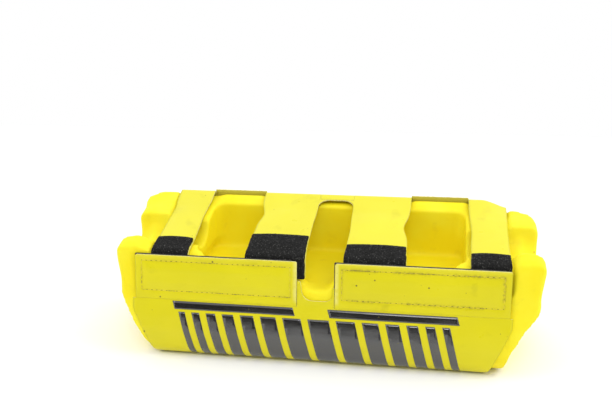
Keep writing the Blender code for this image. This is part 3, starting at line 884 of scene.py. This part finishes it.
def flap(side):
    """One front flap: sheet, stitching, needle holes and hook tape."""
    body = side + "_flap"
    x0, x1 = FLAP_X[side]
    outline = rounded([(x0, 0.0, 1.5), (x1, 0.0, 1.0), (x1, S_SEAM, 0), (x0, S_SEAM, 0)],
                      cyclic=True)
    shape = flap_shape(side)
    piece = bent(side + "_flap_sheet", [outline], shape, 0.9, flap_grime(side), flap_wear(side))
    dress(piece, FLAP_SKIN[side], BACKING, EDGE)
    thicken(piece, VINYL)
    declare(outline)
    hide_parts(body)
    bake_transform(piece)

    b0, b1, s0, s1 = flap_box(side)
    corners = [Vector((b0, s0)), Vector((b1, s0)), Vector((b1, s1)), Vector((b0, s1))]
    runs = list(zip(corners, corners[1:] + corners[:1]))
    seam = stitches(side + "_flap_stitches", runs, shape, 0.1, YELLOW_THREAD)
    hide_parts(side + "_flap_seam")
    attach(seam, body)
    holes = needle_holes(side + "_flap_holes", runs, shape)
    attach(holes, body)
    hook_tape(side)


def hook_tape(side):
    """Hook tape behind a flap; its upper edge just shows above the flap."""
    body = side + "_flap"
    x0, x1 = FLAP_X[side]
    under = -(VINYL + 0.05)
    s_low = S_FOOT - HOOK_ABOVE_FOOT
    reach = HOOK_REACH[side]
    outline = rounded([(x0 - reach[0], -HOOK_PEEK, 0.6), (x1 + reach[1], -HOOK_PEEK, 0.6),
                       (x1 + reach[1], s_low, 0.6), (x0 - reach[0], s_low, 0.6)], cyclic=True)
    lying = flap_shape(side)

    def shape(x, s):
        return 0.0, lying(x, max(s, 0.0))[1] + under

    tape = bent(side + "_hook", [outline], shape, 2.0)
    dress(tape, HOOK_SKIN, HOOK_SKIN, HOOK_SKIN)
    thicken(tape, HOOK * HOOK_SHOWN)
    declare(outline)
    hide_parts(side + "_hook_tape")
    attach(tape, body)


# ---- rear tabs -------------------------------------------------------------------------
def tab_outline(tab):
    """Flat cut of a tab; beside the slot it widens into the slot's rounded end."""
    x0, x1 = TAB_X[tab]
    end = SHEET.length
    fillet = S_SLOT + SLOT_FILLET
    beside_slot = {"left_centre": (x1, x0, 1.0), "right_centre": (x0, x1, -1.0)}
    if tab in beside_slot:
        near, far, way = beside_slot[tab]
        edge = [(near, S_JOIN, 0), (near, S_SLOT, 0), (near + way * SLOT_FILLET, S_SLOT + 0.1, 0.0)]
        edge += slot_arc(near, way) + [(near, fillet, 0), (near, end, 1.0)]
        return rounded(edge + [(far, end, 1.0), (far, S_JOIN, 0)], cyclic=True)
    return rounded([(x0, S_JOIN, 0), (x1, S_JOIN, 0), (x1, end, 1.0), (x0, end, 1.0)], cyclic=True)


def slot_arc(edge, way):
    """Quarter circle between the slot's end and a tab's edge, without its two ends."""
    centre = Vector((edge + way * SLOT_FILLET, S_SLOT + 0.1 + SLOT_FILLET))
    steps = 8
    arc = []
    for i in range(1, steps):
        turn = math.pi / 2 * i / steps
        arc.append((centre.x - way * SLOT_FILLET * math.sin(turn),
                    centre.y - SLOT_FILLET * math.cos(turn), 0))
    return arc


def tab_shape(tab):
    """Pillowed between crest and rim, with edges that wander as the vinyl has stretched."""
    x0, x1 = TAB_X[tab]
    middle, half = (x0 + x1) / 2, (x1 - x0) / 2
    side, depth, y, width = TAB_NIP[tab]
    s_nip = SHEET.nearest(y, HINGE.y + (y - HINGE.x) * math.tan(TAB_SLOPE))

    def shape(x, s):
        free = inside(s, S_HINGE - 2.0, S_RIM + 1.0, 14.0)
        across = min(max((x - middle) / half, -1.0), 1.0)
        crown = 0.9 * (1 - across * across) - 0.35
        wave = 0.40 * ripple(x, s, 19.0, middle)
        wander = 0.7 * ripple(30.0 * math.copysign(1.0, across), s, 20.0, middle) * across * across
        nip = depth * math.exp(-((s - s_nip) / width) ** 2) * smooth_step(-0.2, 1.0, side * across)
        return free * (wander - 0.4 * across) - side * nip, free * (crown + wave)
    return shape


def tab(name):
    """One rear tab with its loop tape, the tape's stitching and its nap."""
    body = name + "_tab"
    outline = tab_outline(name)
    shape = tab_shape(name)
    piece = bent(name + "_tab_sheet", [outline], shape, 1.4)
    # paler copy of the vinyl: painted light on the tab's upward-facing top
    dress(piece, LIT_TAB_SKIN, BACKING, EDGE)
    thicken(piece, TAB)
    declare(outline)
    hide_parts(name + "_strap")
    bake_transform(piece)
    loop_tape(name, body, shape)


def loop_tape(name, body, lying):
    """Loop tape on a tab, its row of stitches and its nap; lying is the tab's shape."""
    x0, x1 = TAB_X[name]
    tape_high = node_box(name + "_loop_tape")[1]
    top = SHEET.nearest(tape_high.y, tape_high.z)
    outline = rounded([(x0 + 0.3, top, 0.8), (x1 - 0.3, top, 0.8), (x1 - 0.3, SHEET.length, 0.8),
                       (x0 + 0.3, SHEET.length, 0.8)], cyclic=True)

    def shape(x, s):
        aside, lift = lying(x, s)
        nap = 0.12 * ripple(x, s, 1.6, 6.0)
        fray = 0.35 * ripple(x, s, 2.0, 8.0) * (1 - inside(x, x0, x1, 2.0))
        return aside + fray, lift + LOOP + nap

    tape = bent(name + "_loop", [outline], shape, 0.8)
    dress(tape, LOOP_SKIN, LOOP_SKIN, LOOP_SKIN)
    thicken(tape, LOOP - 0.05)
    declare(outline)
    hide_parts(name + "_loop_tape")
    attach(tape, body)

    nap = loop_nap(name, (x0 + 0.8, x1 - 0.8, top + 0.5, S_RIM + 6.0), shape)
    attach(nap, body)

    row = top + 1.8
    seam = stitches(name + "_loop_stitches", [(Vector((x0 + 1.5, row)), Vector((x1 - 1.5, row)))],
                    shape, 0.1, BLACK_THREAD)
    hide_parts(name + "_loop_seam")
    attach(seam, body)


def loop_nap(name, area, shape):
    """Small fibre loops that stand out of a loop tape."""
    x0, x1, s0, s1 = area
    draw = random.Random(SEED + TABS.index(name))
    vertices, faces = [], []
    for _ in range(int((x1 - x0) * (s1 - s0) * NAP_DENSITY)):
        flat = Vector((draw.uniform(x0, x1), draw.uniform(s0, s1)))
        heading = draw.uniform(0, math.tau)
        ahead = Vector((math.cos(heading), math.sin(heading)))
        place, outward, along = on_sheet(flat, ahead, shape, -0.1)
        across = along.cross(outward)
        tilt = draw.uniform(-0.6, 0.6)
        rise = (outward + across * tilt).normalized()
        radius = draw.uniform(0.28, 0.55)
        first = len(vertices)
        for i in range(NAP_STEPS + 1):
            turn = math.pi * i / NAP_STEPS
            outer = along * math.cos(turn) + rise * math.sin(turn)
            centre = place + outer * radius
            for k in range(3):
                spin = math.tau * k / 3
                edge = outer * math.cos(spin) + along.cross(rise) * math.sin(spin)
                vertices.append((centre + edge * NAP_FIBRE) * MM)
        for i in range(NAP_STEPS):
            for k in range(3):
                a, b = first + 3 * i + k, first + 3 * i + (k + 1) % 3
                faces.append((a, b, b + 3, a + 3))
    mesh = bpy.data.meshes.new(name + "_nap")
    mesh.from_pydata(vertices, [], faces)
    mesh.shade_smooth()
    piece = link(name + "_nap", mesh)
    dress(piece, NAP_SKIN)
    return piece


# ---- camera, lights and floor ----------------------------------------------------------
def camera():
    """Eye a little right of the middle, 0.24 m up, looking 19 degrees down at the front."""
    lens = bpy.data.cameras.new("camera")
    lens.sensor_width = 36.0
    lens.lens = 45.24
    lens.clip_start = 0.01
    eye = link("camera", lens)
    forward = Vector((-0.1626, 0.9318, -0.3246)).normalized()
    up = Vector((0.98603, 0.16548, -0.01887)).cross(forward).normalized()
    turn = Matrix((forward.cross(up), up, -forward)).transposed().to_4x4()
    turn.translation = Vector((0.0636, -0.4444, 0.2440))
    eye.matrix_world = turn
    bpy.context.scene.camera = eye


def soft_light(name, place, size, power, target=(0.0, 0.0, 0.04)):
    """Square area lamp facing the pad."""
    lamp = bpy.data.lights.new(name, "AREA")
    lamp.size = size
    lamp.energy = power
    thing = link(name, lamp)
    turn = (Vector(place) - Vector(target)).to_track_quat("Z", "Y").to_matrix().to_4x4()
    thing.matrix_world = Matrix.Translation(Vector(place)) @ turn


def flat_square(name, half, matrix):
    """One face, half the given size each way, then stretched by a matrix."""
    cut = bmesh.new()
    bmesh.ops.create_grid(cut, x_segments=1, y_segments=1, size=half, matrix=matrix)
    mesh = bpy.data.meshes.new(name)
    cut.to_mesh(mesh)
    cut.free()
    return link(name, mesh)


def card(name, size, place, colour, glossy):
    """A sheet in front of the pad, seen by glossy reflections alone or by diffuse light alone."""
    thing = flat_square(name, 0.5, Matrix.Diagonal((size[0], size[1], 1.0, 1.0)))
    thing.matrix_world = Matrix.Translation(place) @ Matrix.Rotation(math.radians(90), 4, "X")
    dress(thing, Skin(name, colour, 1.0, Specular_IOR_Level=0.0).material)
    thing.visible_camera = False
    thing.visible_shadow = False
    thing.visible_glossy = glossy
    thing.visible_diffuse = not glossy


def floor():
    """A pale patch under the pad; past its edge the world is as bright."""
    thing = flat_square("floor", FLOOR_HALF, Matrix.Identity(4))
    thing.location.z = -0.0002
    dress(thing, Skin("pale_floor", (0.92, 0.92, 0.92), 0.9, Specular_IOR_Level=0.1).material)


def studio():
    """White surroundings, three soft lamps, and cards that darken what faces the camera."""
    world = bpy.data.worlds.new("studio")
    world.use_nodes = True
    background = world.node_tree.nodes["Background"]
    background.inputs["Color"].default_value = (1.0, 1.0, 1.0, 1.0)
    background.inputs["Strength"].default_value = WORLD_STRENGTH
    bpy.context.scene.world = world
    bpy.context.scene.view_settings.view_transform = "Standard"
    soft_light("key", (0.85, 0.05, 0.95), 0.7, KEY_POWER)
    soft_light("fill", (-0.95, -0.25, 0.8), 0.7, FILL_POWER)
    soft_light("front", (0.15, -0.85, 1.05), 0.5, FRONT_POWER)
    card("grey_card", CARD_SIZE, CARD_PLACE, (0.35, 0.35, 0.35), glossy=False)
    card("dark_card", CARD_SIZE, CARD_PLACE, (0.06, 0.06, 0.06), glossy=True)


HOOK_SKIN = hook_skin()
LOOP_SKIN = loop_skin("black_loop", 0.006)
NAP_SKIN = loop_skin("black_nap", 0.011)
# painted shade inside the needle holes: a dark brown disc with paler flecks
HOLE_SHADE_SKIN = thread_skin("needle_hole_shade", (0.16, 0.12, 0.02), (0.40, 0.33, 0.03))
YELLOW_THREAD = thread_skin("yellow_thread", (0.78, 0.66, 0.04), (0.30, 0.23, 0.03))
BLACK_THREAD = thread_skin("black_thread", (0.015, 0.015, 0.015), (0.05, 0.05, 0.05))

camera()
studio()
floor()
foam_block()
cover()
slot_lip()
front_print()
for each_side in SIDES:
    flap(each_side)
for each_tab in TABS:
    tab(each_tab)
